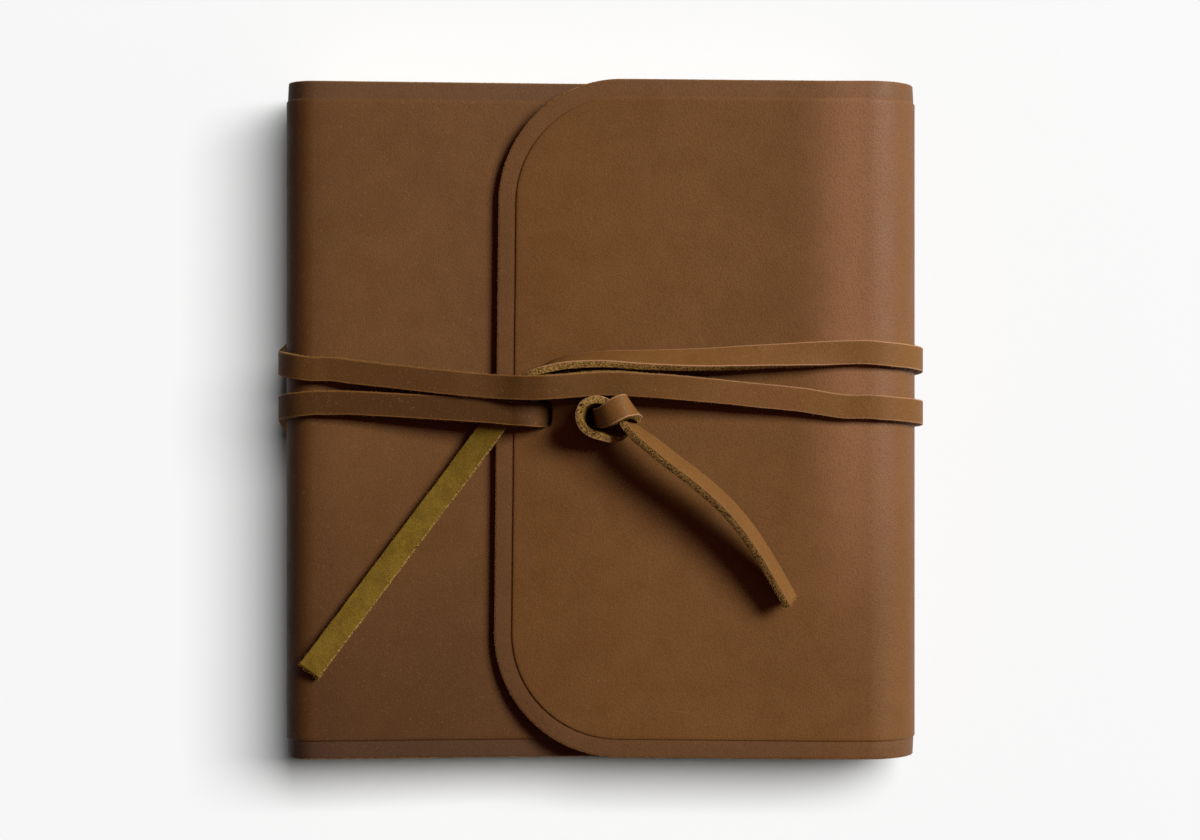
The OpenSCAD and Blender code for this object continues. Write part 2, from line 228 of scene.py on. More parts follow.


# Vegetable-tanned cowhide, dyed brown by hand and waxed: close, almost smooth grain with soft mottling,
# pores and fine scratches. Painted light and shade go into its colour: a painted highlight on the rolled
# fore-edge, and painted shade on the front cover and the rolled spine, which is also dark with wax. Handled
# edges are glossier.
def waxed_grain_leather(name, light, middle, dark, deep, grain_mm=0.45, gloss=0.16):
    material, tree = start_material(name)
    place, broad, blotch, speckle, pore = mottling(
        tree, (42, 3, 0.55, 0.5), (9, 4, 0.62, 0.4), (0.75, 3, 0.65, 0), (0.38, 2, 0.6, 0))
    patina = add(tree, "ShaderNodeAttribute", output="Fac", attribute_name="patina")
    pressed = add(tree, "ShaderNodeAttribute", output="Fac", attribute_name="pressed")
    grain = pebble(tree, place, grain_mm)
    scratch = scratches(tree, place, 34.0, 62.0)
    tone = weigh(tree, [(broad, 0.5), (blotch, 0.5)])
    # Above 0.5 the tone attribute lays on light and below it deep: painted highlight and painted shade, with
    # the spine's wax and the strap's rubbed rims
    base = lay_over(tree, colour(dark), [
        (tone, 0.3, 0.72, 0, 1, middle), (patina, 0.5, 1, 0, 1, light), (patina, 0.5, 0, 0, 1, deep)])
    base = lay_over(tree, base, [(pressed, 0, 1, 0, 0.06, "#7d6a62")], "LINEAR")
    base = lay_over(tree, base, [
        (grain, 0, 0.5, 0.16, 0, deep), (speckle, 0.58, 0.72, 0, 0.16, light),
        (speckle, 0.42, 0.28, 0, 0.22, deep)])
    base = lay_over(tree, base, [(scratch, 0, 1, 0, 0.22, light)], "LINEAR")
    rough = [(blotch, 0.3, 0.7, 0.44, 0.56), (grain, 0, 1, 0.08, 0), (patina, 0.55, 1, 0, -0.1),
             (patina, 0.35, 0.2, 0, 0.12)]
    height = [(grain, 0.6), (pore, 0.5), (scratch, -0.35)]
    finish_surface(tree, base, rough, height, 0.045, gloss)
    return material


# The raw flesh side of the same hide: a short olive-tan nap that takes no gloss.
def flesh_side_leather(name, light, dark, deep):
    material, tree = start_material(name)
    _, nap, tuft, patch = mottling(tree, (0.42, 4, 0.75, 0.8), (1.3, 3, 0.7, 0.5), (7, 3, 0.6, 0.4))
    base = lay_over(tree, colour(dark), [
        (patch, 0.35, 0.65, 0, 1, light), (nap, 0.34, 0.62, 0.55, 0, deep),
        (tuft, 0.55, 0.75, 0, 0.3, light)])
    finish_surface(tree, base, [(nap, 0, 1, 0.85, 0.95)], [(nap, 0.6), (tuft, 0.4)], 0.22, 0.1)
    return material


# The cut edge of thick hide: yellow-tan fibre ends with dark crevices between them, rubbed with wax.
def cut_edge_leather(name, light, dark, deep):
    material, tree = start_material(name)
    _, fibre, fine, patch = mottling(tree, (0.5, 3, 0.75, 1.2), (0.25, 2, 0.7, 0), (3, 3, 0.6, 0.3))
    base = lay_over(tree, colour(dark), [
        (fibre, 0.46, 0.58, 0, 1, light), (fibre, 0.48, 0.39, 0, 1, deep), (patch, 0.5, 0.7, 0, 0.4, dark)])
    finish_surface(tree, base, [(fibre, 0, 1, 0.75, 0.9)], [(fibre, 0.7), (fine, 0.3)], 0.3, 0.1)
    return material


# Loose collagen fibres of a cut hide edge: thin, pale and dull, each bent a little.
def hide_fibre(name, light, dark):
    material, tree = start_material(name)
    _, tint = mottling(tree, (0.9, 1, 0.5, 0))
    base = lay_over(tree, colour(dark), [(tint, 0.4, 0.6, 0, 1, light)])
    shader = add(tree, "ShaderNodeBsdfPrincipled", {
        "Base Color": base, "Roughness": 0.9, "Specular IOR Level": 0.1})
    add(tree, "ShaderNodeOutputMaterial", {"Surface": shader})
    return material


# Smooth uncoated book paper: a faint tooth, and each leaf yellowed a little differently.
def book_paper(name, light, dark, shade):
    material, tree = start_material(name)
    _, patch, tooth = mottling(tree, (12, 3, 0.6, 0), (0.3, 2, 0.6, 0))
    number = add(tree, "ShaderNodeAttribute", output="Fac", attribute_name="number")
    leaf = add(tree, "ShaderNodeTexWhiteNoise", {"W": number}, "Value", noise_dimensions="1D")
    base = lay_over(tree, colour(dark), [(patch, 0.3, 0.7, 0, 1, light)])
    base = lay_over(tree, base, [(leaf, 0, 1, 0, 0.35, shade)], "LINEAR")
    finish_surface(tree, base, [(tooth, 0, 1, 0.8, 0.9)], [(tooth, 1)], 0.02, 0.25)
    return material


# Twisted silk: fine cords that catch a narrow highlight along each turn.
def band_silk(name, first, second):
    material, tree = start_material(name)
    place, twist = mottling(tree, (0.16, 1, 0.5, 0))
    height = add(tree, "ShaderNodeSeparateXYZ", (place,), 2)
    turns = add(tree, MATHS, (height, 6 * THREAD_PITCH * MM), operation="DIVIDE")
    stripe = add(tree, MATHS, (turns,), operation="FRACT")
    second_half = add(tree, MATHS, (stripe, 0.5), operation="GREATER_THAN")
    base = add(tree, MIX, {0: second_half, 6: colour(first), 7: colour(second)}, 2, data_type="RGBA")
    finish_surface(tree, base, [(twist, 0, 1, 0.4, 0.6)], [(twist, 1)], 0.03, 0.45)
    return material


# Open cotton cloth, stiff with glue: a plain weave of threads about a millimetre apart.
def glued_muslin(name, light, dark):
    material, tree = start_material(name)
    [place] = mottling(tree)
    waves = []
    for side in (1, 2):
        across = add(tree, "ShaderNodeSeparateXYZ", (place,), side)
        angle = add(tree, MATHS, (across, math.tau / (0.9 * MM)), operation="MULTIPLY")
        waves.append(add(tree, MATHS, (angle,), operation="SINE"))
    weave = add(tree, MATHS, waves, operation="MULTIPLY")
    base = lay_over(tree, colour(dark), [(weave, -0.6, 0.6, 0, 1, light)])
    finish_surface(tree, base, [(weave, -1, 1, 0.95, 0.8)], [(weave, 1)], 0.1, 0.2)
    return material


# Geometry Nodes: a tree has named inputs and is baked into a plain mesh

def start_tree(name, sizes):
    """A tree that takes a mesh and some named sizes, with what it is given."""
    tree = bpy.data.node_groups.new(name, "GeometryNodeTree")
    tree.interface.new_socket("Geometry", in_out="INPUT", socket_type="NodeSocketGeometry")
    tree.interface.new_socket("Geometry", in_out="OUTPUT", socket_type="NodeSocketGeometry")
    for size in sizes:
        tree.interface.new_socket(size, in_out="INPUT", socket_type="NodeSocketFloat")
    return tree, tree.nodes.new("NodeGroupInput").outputs


def finish_tree(tree, geometry, material):
    real = add(tree, "GeometryNodeRealizeInstances", (geometry,))
    finished = add(tree, "GeometryNodeSetMaterial", {"Geometry": real, "Material": material})
    add(tree, "NodeGroupOutput", (finished,))


def bake(piece, tree, sizes):
    """Runs the tree on a piece with its sizes set, and keeps the result as the piece's own mesh."""
    modifier = piece.modifiers.new(tree.name, "NODES")
    modifier.node_group = tree
    for item in tree.interface.items_tree:
        if item.in_out == "INPUT" and item.name in sizes:
            modifier[item.identifier] = float(sizes[item.name])
    graph = bpy.context.evaluated_depsgraph_get()
    mesh = bpy.data.meshes.new_from_object(piece.evaluated_get(graph), depsgraph=graph)
    piece.modifiers.clear()
    piece.data = mesh
    return piece


def edge_fibres(name, source, material, per_mm2, length_mm):
    """Fibres that stand out of the faces with the cut edge's material, more where they have frayed."""
    sizes = {"Fibres per square metre": per_mm2 / MM ** 2, "Length": length_mm * MM, "Radius": FIBRE_R * MM}
    tree, given = start_tree("fibres_of_" + source.name, sizes)
    length = given["Length"]
    slot = add(tree, "GeometryNodeInputMaterialIndex")
    on_cut = add(tree, "FunctionNodeCompare", {2: slot, 3: CUT_SLOT}, data_type="INT", operation="EQUAL")
    fray = add(tree, "GeometryNodeInputNamedAttribute", {"Name": "fray"}, data_type="FLOAT")
    crowd = add(tree, MATHS, (given["Fibres per square metre"], fray), operation="MULTIPLY")
    roots = add(tree, "GeometryNodeDistributePointsOnFaces", {
        "Mesh": given["Geometry"], "Selection": on_cut, "Density": crowd, "Seed": 7})

    cone = add(tree, "GeometryNodeMeshCone", {
        "Radius Bottom": given["Radius"], "Depth": length, "Vertices": 3, "Side Segments": 3})
    position = add(tree, "GeometryNodeInputPosition")
    height = add(tree, "ShaderNodeSeparateXYZ", (position,), 2)
    share = add(tree, MATHS, (height, length), operation="DIVIDE")
    curve = add(tree, MATHS, (share, share), operation="MULTIPLY")
    most = add(tree, MATHS, (length, 0.35), operation="MULTIPLY")
    aside = add(tree, MATHS, (curve, most), operation="MULTIPLY")
    bend = add(tree, "ShaderNodeCombineXYZ", (aside,))
    fibre = add(tree, "GeometryNodeSetPosition", {"Geometry": cone, "Offset": bend})

    lean = add(tree, "FunctionNodeRandomValue", {
        0: (-0.9, -0.9, 0.0), 1: (0.9, 0.9, 6.28), "Seed": 11}, data_type="FLOAT_VECTOR")
    turn = add(tree, "FunctionNodeEulerToRotation", (lean,))
    facing = add(tree, "FunctionNodeRotateRotation", {
        "Rotation": roots.node.outputs["Rotation"], "Rotate By": turn}, rotation_space="LOCAL")
    part = add(tree, "FunctionNodeRandomValue", {2: 0.35, 3: 1.0, "Seed": 13}, 1, data_type="FLOAT")
    longer = add(tree, MATHS, (fray, 0.4), operation="POWER")
    size = add(tree, MATHS, (part, longer), operation="MULTIPLY")
    fibres = add(tree, "GeometryNodeInstanceOnPoints", {
        "Points": roots, "Instance": fibre, "Rotation": facing, "Scale": size})
    finish_tree(tree, fibres, material)
    piece = bpy.data.objects.new(name, source.data.copy())
    bpy.context.scene.collection.objects.link(piece)
    return bake(piece, tree, sizes)


# The wrap-round cover

def arc(cx, cz, radius, start, end, steps, out=1):
    """Points of an arc with the outward direction of the leather's face at each."""
    angles = np.radians(np.linspace(start, end, steps + 1))
    return [(cx + radius * math.cos(a), cz + radius * math.sin(a), out * math.cos(a), out * math.sin(a))
            for a in angles]


SLOPE = math.radians(FRONT_SLOPE)
FRONT_END = SPINE_X + COVER_W - LEATHER_T - FRONT_GAP
LEVEL_AT = SPINE_X + LEVEL_X
SLOPE_X = SPINE_X + SPINE_R * (1 + math.sin(SLOPE))
SLOPE_Z = COVER_T - SPINE_R * (1 - math.cos(SLOPE))
BEND_X = LEVEL_AT - LEVEL_R * math.sin(SLOPE)
BEND_Z = SLOPE_Z - math.tan(SLOPE) * (BEND_X - SLOPE_X)
LEVEL_Z = BEND_Z - LEVEL_R * (1 - math.cos(SLOPE))
FREE_X = SPINE_X + FLAP_X
DROOP_X = FREE_X + DROOP_W
DROOP_R = (DROOP_W ** 2 + FLAP_DROOP ** 2) / (2 * FLAP_DROOP)
DROOP_A = math.degrees(math.asin(DROOP_W / DROOP_R))


def front_at(x):
    """Height of the front cover's face above the cover's underside."""
    if x < SLOPE_X:
        return SLOPE_Z
    if x < BEND_X:
        return SLOPE_Z - math.tan(SLOPE) * (x - SLOPE_X)
    if x < LEVEL_AT:
        return LEVEL_Z + LEVEL_R - math.sqrt(LEVEL_R ** 2 - (LEVEL_AT - x) ** 2)
    return LEVEL_Z


def flap_at(x):
    """Height of the flap's face above the cover's underside."""
    if x > DROOP_X:
        return COVER_T
    return COVER_T - DROOP_R + math.sqrt(DROOP_R ** 2 - (DROOP_X - x) ** 2)


# The face of the leather, from the hidden edge of the front cover round to the flap's edge
FACE = np.array(
    [(FRONT_END, LEVEL_Z, 0, 1)]
    + arc(LEVEL_AT, LEVEL_Z + LEVEL_R, LEVEL_R, -90, -90 - FRONT_SLOPE, 6, -1)
    + arc(SPINE_X + SPINE_R, COVER_T - SPINE_R, SPINE_R, 90 - FRONT_SLOPE, 180, 30)
    + arc(SPINE_X + SPINE_R, SPINE_R, SPINE_R, 180, 270, 30)
    + arc(FORE_X, FORE_R, FORE_R, 270, 450, 90)
    + arc(DROOP_X, COVER_T - DROOP_R, DROOP_R, 90, 90 + DROOP_A, 12))
ALONG = np.concatenate([[0], np.cumsum(np.hypot(np.diff(FACE[:, 0]), np.diff(FACE[:, 1])))])
SHEET_L = ALONG[-1] - 0.05
BENDS = ALONG[[0, 1, 7, 8, 38, 39, 69, 70, 160]]  # where each flat or rolled part of the section starts
SPINE_START, SPINE_END, ROLL_END = BENDS[[3, 6, 8]]

# The flap's edge is cut slightly aslant, so the sheet goes on a little past the edge of the section
PAST_EDGE = 0.4
FACE = np.vstack([FACE, FACE[-1] + (FACE[-1] - FACE[-2]) * PAST_EDGE])
ALONG = np.append(ALONG, ALONG[-1] + (ALONG[-1] - ALONG[-2]) * PAST_EDGE)
FLAP_POINTS = 14
FLAP_START = ALONG[-FLAP_POINTS]
FLAP_TURN = math.tan(math.radians(0.54))
FLAP_SLANT = 0.01
TURN_AT = FLAP_START - 46.6


def along_at(x):
    """How far along the leather the flap's face stands at x."""
    top = FACE[-FLAP_POINTS:]
    return float(np.interp(-x, -top[:, 0], ALONG[-FLAP_POINTS:]))


def leather_point(s, y, depth):
    """A point of the cover from its place on the flat leather and its depth below the face."""
    slid = s - FLAP_SLANT * np.asarray(y) * soft_step(TURN_AT, SHEET_L, s)
    x, z, out_x, out_z = (np.interp(slid, ALONG, FACE[:, i]) for i in range(4))
    length = np.hypot(out_x, out_z)
    turned = np.maximum(s - TURN_AT, 0) * FLAP_TURN
    return np.column_stack([x - out_x / length * depth, y + turned, BASE_Z + z - out_z / length * depth])


def columns():
    """Places along the leather, closer together where it is rolled."""
    stops = [*BENDS, FLAP_START, SHEET_L]
    steps = [3.0, 2.2, 3.0, 0.8, 1.6, 0.8, 3.0, 1.2, 2.6, 2.6]
    places = [np.linspace(a, b, max(2, round((b - a) / step) + 1))[:-1]
              for a, b, step in zip(stops, stops[1:], steps) if b - a > 0.01]
    return np.concatenate(places + [[SHEET_L]])


COLUMNS = columns()
ROWS = np.linspace(-COVER_H / 2, COVER_H / 2, 77)
HIDDEN_R = 7.5  # radius of the two corners of the hidden edge
BORDER_KEEP = 7.4  # the sheet's own points stay this far inside its edge
SLIT_KEEP = 4.6  # and this far from a slit's middle, or a quarter further along it


def outline(inset):
    """The cut leather's outline at a distance inside its edge, anticlockwise on the flat sheet."""
    half = COVER_H / 2
    long_places = COLUMNS[(COLUMNS > HIDDEN_R + 0.5) & (COLUMNS < SHEET_L - FLAP_R - 0.5)]

    def corner(s, y, radius, start, count):
        return [(s + (radius - inset) * math.cos(math.radians(start + 90 * i / count)),
                 y + (radius - inset) * math.sin(math.radians(start + 90 * i / count)))
                for i in range(count + 1)]

    def end(s, reach, sign):
        rows = ROWS[np.abs(ROWS) < reach - 0.5]
        return [(s, y) for y in rows[::sign]]

    points = [(s, -half + inset) for s in long_places]
    points += corner(SHEET_L - FLAP_R, -half + FLAP_R, FLAP_R, -90, 40)
    points += end(SHEET_L - inset, half - FLAP_R, 1)
    points += corner(SHEET_L - FLAP_R, half - FLAP_R, FLAP_R, 0, 40)
    points += [(s, half - inset) for s in long_places[::-1]]
    points += corner(HIDDEN_R, half - HIDDEN_R, HIDDEN_R, 90, 8)
    points += end(inset, half - HIDDEN_R, -1)
    points += corner(HIDDEN_R, -half + HIDDEN_R, HIDDEN_R, 180, 8)
    return np.array(points)


def slit(x, y, turn, grow):
    """The outline of a slit on the flat sheet: a slot with round ends, across the strap."""
    length, width = STRAP_W / 2 + SLIT_END, SLIT_W / 2
    points = []
    c, d = math.cos(math.radians(turn)), math.sin(math.radians(turn))
    for i in range(36):
        a = math.radians(10 * i)
        u, v = (half * math.copysign(abs(part) ** 0.55, part) + grow * part
                for half, part in ((width, math.cos(a)), (length, math.sin(a))))
        points.append((along_at(x) - (u * c - v * d), y + u * d + v * c))
    return np.array(points)


# Inset from the cut edge and depth below the face of each line that runs round the border. The edge's lines
# lie past the border's step, the crease's lines are shares of it, and the first strips are the raw cut.
CUT_STRIPS = 3
EDGE_LINES = [(0.0, 0.8), (0.03, 0.42), (0.12, 0.16), (0.32, 0.03), (0.9, 0.0), (2.8, -0.1), (4.8, -0.19),
              (5.15, -0.18), (5.32, -0.2)]
CREASE_LINES = [(5.45, 0.42), (5.62, 0.14), (5.85, 0.03), (6.5, 0.0)]
OUTER_LINES = [(inset, BORDER_STEP + past) for inset, past in EDGE_LINES]
OUTER_LINES += [(inset, BORDER_STEP * share) for inset, share in CREASE_LINES]
INNER_LINES = [(0.0, LEATHER_T - 0.3), (0.1, LEATHER_T - 0.08), (0.4, LEATHER_T), (6.5, LEATHER_T)]

# The middle and the turn of each slit, and how wide and how deep its worn rims are
SLITS = [(SPINE_X + SLIT_X, 1.05, 0), (SPINE_X + KNOT_X - 0.7, 0.37, 6)]
SLIT_RIM_W = 0.4
SLIT_RIM_TOP = 0.35
SLIT_RIM_UNDER = 0.2


def inside_edge(s, y):
    """How far a place of the flat sheet is from its cut edge, leaving out the hidden edge."""
    over_s = np.maximum(s - (SHEET_L - FLAP_R), 0)
    over_y = np.maximum(np.abs(y) - (COVER_H / 2 - FLAP_R), 0)
    straight = np.minimum(COVER_H / 2 - np.abs(y), SHEET_L - s)
    return np.where(over_s * over_y > 0, FLAP_R - np.hypot(over_s, over_y), straight)


def leather_cover():
    """Cuts the sheet with its border lines and slits, gives it its thickness and rolls it."""
    outer_loops = [outline(inset) for inset, _ in OUTER_LINES]
    rim = outer_loops[-1]
    slit_rims = [slit(*place, SLIT_RIM_W) for place in SLITS]
    s, y = (grid.ravel() for grid in np.meshgrid(COLUMNS, ROWS, indexing="ij"))
    kept = np.minimum(inside_edge(s, y), s) >= BORDER_KEEP
    for x, slit_y, _ in SLITS:
        kept &= np.hypot(s - along_at(x), (y - slit_y) * 0.8) >= SLIT_KEEP

    loose = np.column_stack([s, y])[kept]
    flat = [Vector(p) for ring in [rim] + slit_rims + [loose] for p in ring]
    edges, first = [], 0
    for ring in [rim] + slit_rims:
        edges += [(first + i, first + (i + 1) % len(ring)) for i in range(len(ring))]
        first += len(ring)
    points, _, filled, origin, _, _ = delaunay_2d_cdt(flat, edges, [], 0, 1e-5)
    flat = np.array([tuple(p) for p in points])
    place_in = {old: new for new, olds in enumerate(origin) for old in olds}
    triangles = np.array([face for face in filled
                          if not any(inside_ring(flat[list(face)].mean(0), ring) for ring in slit_rims)])

    vertices, faces, slots, places = [], [], [], []

    def put(points_2d, depth):
        """Adds points of the flat sheet at a depth below its face, rolled up, and gives their numbers."""
        vertices.extend(leather_point(points_2d[:, 0], points_2d[:, 1], depth))
        places.extend(points_2d)
        return np.arange(len(vertices) - len(points_2d), len(vertices))

    def lay(new_faces, slot):
        for face in new_faces:
            faces.append(list(face))
            slots.append(slot)

    def strip(a, b, slot):
        lay(zip(a, np.roll(a, -1), np.roll(b, -1), b), slot)

    outer = [put(loop, depth) for loop, (_, depth) in zip(outer_loops[:-1], OUTER_LINES)]
    top = put(flat, OUTER_LINES[-1][1])
    at_rim = [place_in[i] for i in range(len(rim))]
    for k, (a, b) in enumerate(zip(outer, outer[1:] + [top[at_rim]])):
        strip(a, b, CUT_SLOT if k < CUT_STRIPS else GRAIN_SLOT)
    lay(top[triangles], GRAIN_SLOT)
    inner = [put(outline(inset), depth) for inset, depth in INNER_LINES[:-1]]
    under = put(flat, INNER_LINES[-1][1])
    for a, b in zip(inner, inner[1:] + [under[at_rim]]):
        strip(b, a, FLESH_SLOT)
    lay(under[triangles[:, ::-1]], FLESH_SLOT)
    strip(inner[0], outer[0], CUT_SLOT)

    first = len(rim)
    for place, ring in zip(SLITS, slit_rims):
        at_rim = [place_in[first + i] for i in range(len(ring))]
        cut = slit(*place, 0.0)
        upper, lower = put(cut, SLIT_RIM_TOP), put(cut, LEATHER_T - SLIT_RIM_UNDER)
        rings = [top[at_rim], upper, lower, under[at_rim]]
        for i in range(len(ring)):
            j = (i + 1) % len(ring)
            for a, b, slot in zip(rings, rings[1:], (GRAIN_SLOT, CUT_SLOT, FLESH_SLOT)):
                lay([(a[i], b[i], b[j], a[j])], slot)
        first += len(ring)
    outward = [face[::-1] for face in faces]
    piece = new_object("leather_cover_skin", vertices, outward, [
        waxed_grain_leather("waxed_cowhide_grain", "#96694b", "#66431f", "#5f3d1b", "#2b1603"),
        flesh_side_leather("cowhide_flesh_side", "#82683a", "#684e27", "#3b2b10"),
        cut_edge_leather("cowhide_cut_edge", "#9c723d", "#694624", "#2e1b0b")], slots)
    return piece, np.array(places)


def inside_ring(point, ring):
    """Whether a point of the flat sheet lies inside a closed outline."""
    x, y = point
    crossings = 0
    for (x0, y0), (x1, y1) in zip(ring, np.roll(ring, -1, axis=0)):
        if (y0 > y) != (y1 > y) and x < (x1 - x0) * (y - y0) / (y1 - y0) + x0:
            crossings += 1
    return crossings % 2 == 1


def cover_tone_and_painted_light(flat):
    """From 0, dark, to 1, light: 0.5 is the plain dyed leather. Painted shade darkens the rolled spine, which
    is also dark with wax, the front cover and the lower part, and a painted highlight lightens the rolled
    fore-edge. Then the border.
    """
    s, y = flat.T
    tone = np.full(len(s), 0.5)
    from_spine = np.abs(s - (SPINE_START + SPINE_END) / 2)
    # Darker round the spine: painted shade on the roll that turns away from the lamp, and the wax in it
    tone -= 0.3 * (1 - soft_step(12, 30, from_spine))
    from_roll = s - ROLL_END
    lower = soft_step(0, -90, y)
    # A painted highlight on the rolled fore-edge, where it turns towards the lamp, weaker towards the bottom
    painted_highlight = 0.12 * soft_step(-40, -10, from_roll) * (1 - soft_step(2, 26, from_roll))
    painted_highlight += 0.13 * soft_step(-10, 4, from_roll) * (1 - soft_step(4, 26, from_roll))
    tone += painted_highlight * (1 - 0.7 * lower)
    on_front = 1 - soft_step(SPINE_START - 7, SPINE_START + 7, s)
    at_left = soft_step(60, SPINE_START, s)
    # Painted shade on the front cover, more towards the bottom and most at the bottom left
    tone -= on_front * (0.13 + 0.05 * lower + 0.07 * lower * at_left)
    at_border = 1 - soft_step(BORDER_W - 1, BORDER_W + 1, inside_edge(s, y))
    # Painted shade towards the bottom. The border has its own darker tone, with painted shade added on the
    # flap's lower border
    tone -= 0.02 * lower + at_border * (0.06 + 0.08 * lower * (1 - on_front))
    return np.clip(tone, 0, 1), at_border


# The strap

LIE = STRAP_T / 2 + STRAP_GAP
KNOT_AT = SPINE_X + KNOT_X
SLIT_AT = SPINE_X + SLIT_X
SPINE_TOP = (SPINE_X + SPINE_R, BASE_Z + COVER_T - SPINE_R)
SPINE_FOOT = (SPINE_X + SPINE_R, BASE_Z + SPINE_R)
LEAVE_A = 92.5
EASE_W = 5
SETTLE_W = 2
EASE_X = SPINE_TOP[0] + EASE_W
EASE_H = COVER_T + LIE + EASE_W * math.sin(math.radians(LEAVE_A - 90))


def on_flap(x, y, z, tilt=0, facing=0, width=1):
    """A station at a height above the flap's face. The strap's grain side leans by tilt, towards facing."""
    return (x, y, BASE_Z + flap_at(x) + z, tilt, facing, width)


def on_front(x, y, z, tilt=0, facing=0):
    """The same above the front cover's face."""
    return (x, y, BASE_Z + front_at(x) + z, tilt, facing, 1)


def taut(x, y, x0, h0, tilt):
    """A station on the straight line from the spine to a height above the cover's underside at x0."""
    return (x, y, BASE_Z + h0 + (EASE_H - h0) * (x0 - x) / (x0 - EASE_X), tilt, 0, 1)


def round_edge(centre, radius, start, end, count, y0, y1, lean):
    """Stations round a corner of the book, from one angle to another."""
    stations = []
    for i in range(count + 1):
        a = start + (end - start) * i / count
        stations.append((centre[0] + (radius + LIE) * math.cos(math.radians(a)), y0 + (y1 - y0) * i / count,
                         centre[1] + (radius + LIE) * math.sin(math.radians(a)), 90 - a + lean, 0, 1))
    return stations


def once_round(y_top, y_spine, y_foot, y_fore, y_end, turns):
    """Round the spine, across the back, up the fore-edge and back to the front."""
    lean = -360 * turns
    y_wall = y_spine + (y_foot - y_spine) * 0.6
    stations = [(EASE_X, y_top, BASE_Z + EASE_H, lean, 0, 1)]
    stations += round_edge(SPINE_TOP, SPINE_R, LEAVE_A, 180, 5, y_top, y_spine, lean)
    for z in (SPINE_TOP[1] - SETTLE_W, SPINE_FOOT[1] + SETTLE_W):
        share = (SPINE_TOP[1] - z) / (SPINE_TOP[1] - SPINE_FOOT[1])
        stations.append((SPINE_X - LIE, y_spine + (y_wall - y_spine) * share, z, lean - 90, 0, 1))
    stations += round_edge(SPINE_FOOT, SPINE_R, 180, 270, 5, y_wall, y_foot, lean)
    for x in (SPINE_FOOT[0] + SETTLE_W, SPINE_FOOT[0] + EASE_W, 0, FORE_X - EASE_W, FORE_X - SETTLE_W):
        share = (x - SPINE_FOOT[0]) / (FORE_X - SPINE_FOOT[0])
        stations.append((x, y_foot + (y_fore - y_foot) * share, BASE_Z - LIE, lean - 180, 0, 1))
    stations += round_edge((FORE_X, BASE_Z + FORE_R), FORE_R, 270, 450, 11, y_fore, y_end, lean)
    stations += [(FORE_X - w, y_end, BASE_Z + COVER_T + LIE, lean - 360, 0, 1)
                 for w in (SETTLE_W, EASE_W)]
    return stations


# The strap's stations, from the end that hangs from the knot to the end at the lower left: x, y, height, the
# lean of its grain side, the way it leans, and its width as a share of the full one
TAIL_RUN = [
    on_flap(55.2, -53.4, 3.9, 62, 28), on_flap(51.2, -46.5, 5, 61, 29), on_flap(46.8, -39.1, 6.5, 61, 31),
    on_flap(42.4, -32.6, 7.8, 61, 34), on_flap(37.2, -26.3, 8.9, 61, 39), on_flap(30.9, -20.3, 9.6, 61, 45),
    on_flap(24.3, -15, 10, 61, 49), on_flap(18.4, -10.5, 9.9, 61, 51), on_flap(14, -7, 9.4, 63, 51)]

# From the middle of the knot
KNOT_TURNS = [
    (10, -3.4, 8.5, 70, 50), (7.5, -0.9, 7.7, 80, 46), (6.1, 1, 7.4, 90, 44), (4.4, 2.9, 7, 90, 46),
    (2.4, 4.6, 6.6, 94, 58), (0.4, 5.3, 6.4, 98, 78), (-1.5, 5.4, 6.4, 100, 98),
    (-3.1, 4.9, 6.4, 101, 118), (-4.5, 4, 6.3, 102, 137), (-5.3, 2.6, 6.3, 101, 157),
    (-5.6, 1, 6.3, 100, 177), (-5.3, -0.7, 6.2, 97, 197), (-4.4, -2.2, 5.9, 95, 217),
    (-3.1, -3.3, 5.5, 94, 238), (-1.5, -4, 4.9, 98, 260), (0.2, -4.4, 4.35, 102, 276),
    (2.2, -4.2, 3.9, 123, 290), (4.1, -3.3, 3.05, 149, 300), (5.6, -2, 2.15, 168, 308),
    (6.6, -0.4, 1.6, 178, 315), (7.5, 0.7, 1.45, 180, 330), (8.4, 1.7, 2, 160, 400),
    (9, 2.3, 3.4, 122, 405), (9.2, 2.6, 5.4, 92, 405), (9.1, 3, 8.2, 85, 402), (8.5, 3.7, 10.9, 63, 403),
    (7, 3.9, 12.8, 25, 412), (4.9, 3.1, 13.3, 12, 473), (3, 1.9, 12.9, 20, 530, 0.93),
    (1, 0.9, 11.3, 51, 556, 0.84), (-0.2, 0.7, 8.8, 80, 556, 0.78), (-0.7, 1, 6, 90, 550, 0.72),
    (-0.9, 1.1, 3, 90, 546, 0.62), (-0.8, 0.9, 0.5, 90, 542, 0.8), (-1, 0.6, -1.6, 80, 540),
    (-2.2, 0.8, -3.7, 40, 540), (-4.4, 1, -4.6, 5, 540)]

SLIT_RISE = [
    on_front(SLIT_AT + 8.6, 1.2, 2, 0, 360), on_front(SLIT_AT + 5, 1.3, 1.5, 0, 360),
    on_front(SLIT_AT + 2.4, 1.35, 1.6, 8, 360), on_flap(SLIT_AT + 1, 1.4, -2.9, 45, 360),
    on_flap(SLIT_AT, 1.4, -1.2, 90, 360), on_flap(SLIT_AT - 0.35, 1.4, 0.2, 75, 360),
    on_flap(SLIT_AT - 1.3, 1.45, 1.9, 50, 360), on_flap(SLIT_AT - 3.2, 1.6, 3.9, 35, 360),
    on_flap(SLIT_AT - 5.8, 1.8, 4.7, 5, 360), on_flap(SLIT_AT - 9.6, 2, 4.5, 0, 360),
    on_flap(SLIT_AT - 13.6, 2.4, 4.5, 0, 0), taut(-45, 3.4, -31, 34.9, 0), taut(-60, 4.3, -31, 34.9, 0),
    taut(-74, 5, -31, 34.9, 0)]

